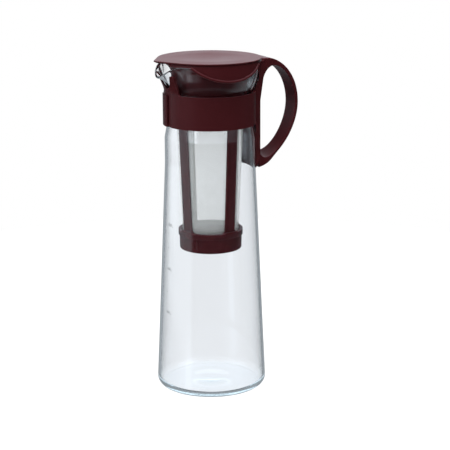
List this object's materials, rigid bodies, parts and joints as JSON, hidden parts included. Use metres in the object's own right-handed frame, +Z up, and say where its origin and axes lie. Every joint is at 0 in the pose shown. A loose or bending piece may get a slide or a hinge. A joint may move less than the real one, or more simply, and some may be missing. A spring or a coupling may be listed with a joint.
{
  "type": "cold brew coffee maker",
  "caption": "Tall tapered glass jug with a clip-on handle band, a pouring spout, a flat lid and a lift-out mesh filter with a push-on base cap.",
  "frame": {"origin": "centre of the jug's rest face, on the jug's axis", "axes": "+Z up along the jug's axis, +X towards the handle, -X towards the pouring spout"},
  "size_m": [0.1361, 0.099, 0.3008],
  "materials": {
    "glass": "clear, smooth",
    "brown_plastic": "satin",
    "mesh": "fine woven"
  },
  "bodies": {
    "jug": {"glass_jug": "glass", "handle_band": "brown_plastic"},
    "filter": {"filter_frame": "brown_plastic", "filter_mesh": "mesh"},
    "lid": {"lid": "brown_plastic"},
    "base_cap": {"filter_base_cap": "brown_plastic"}
  },
  "joints": [
    {"name": "filter_lift", "type": "slide", "parent": "jug", "child": "filter", "axis": [0, 0, 1], "range_m": [0, 0.18]},
    {"name": "lid_lift", "type": "slide", "parent": "filter", "child": "lid", "axis": [0, 0, 1], "range_m": [0, 0.04]},
    {"name": "cap_pull", "type": "slide", "parent": "filter", "child": "base_cap", "axis": [0, 0, -1], "range_m": [0, 0.025]}
  ]
}
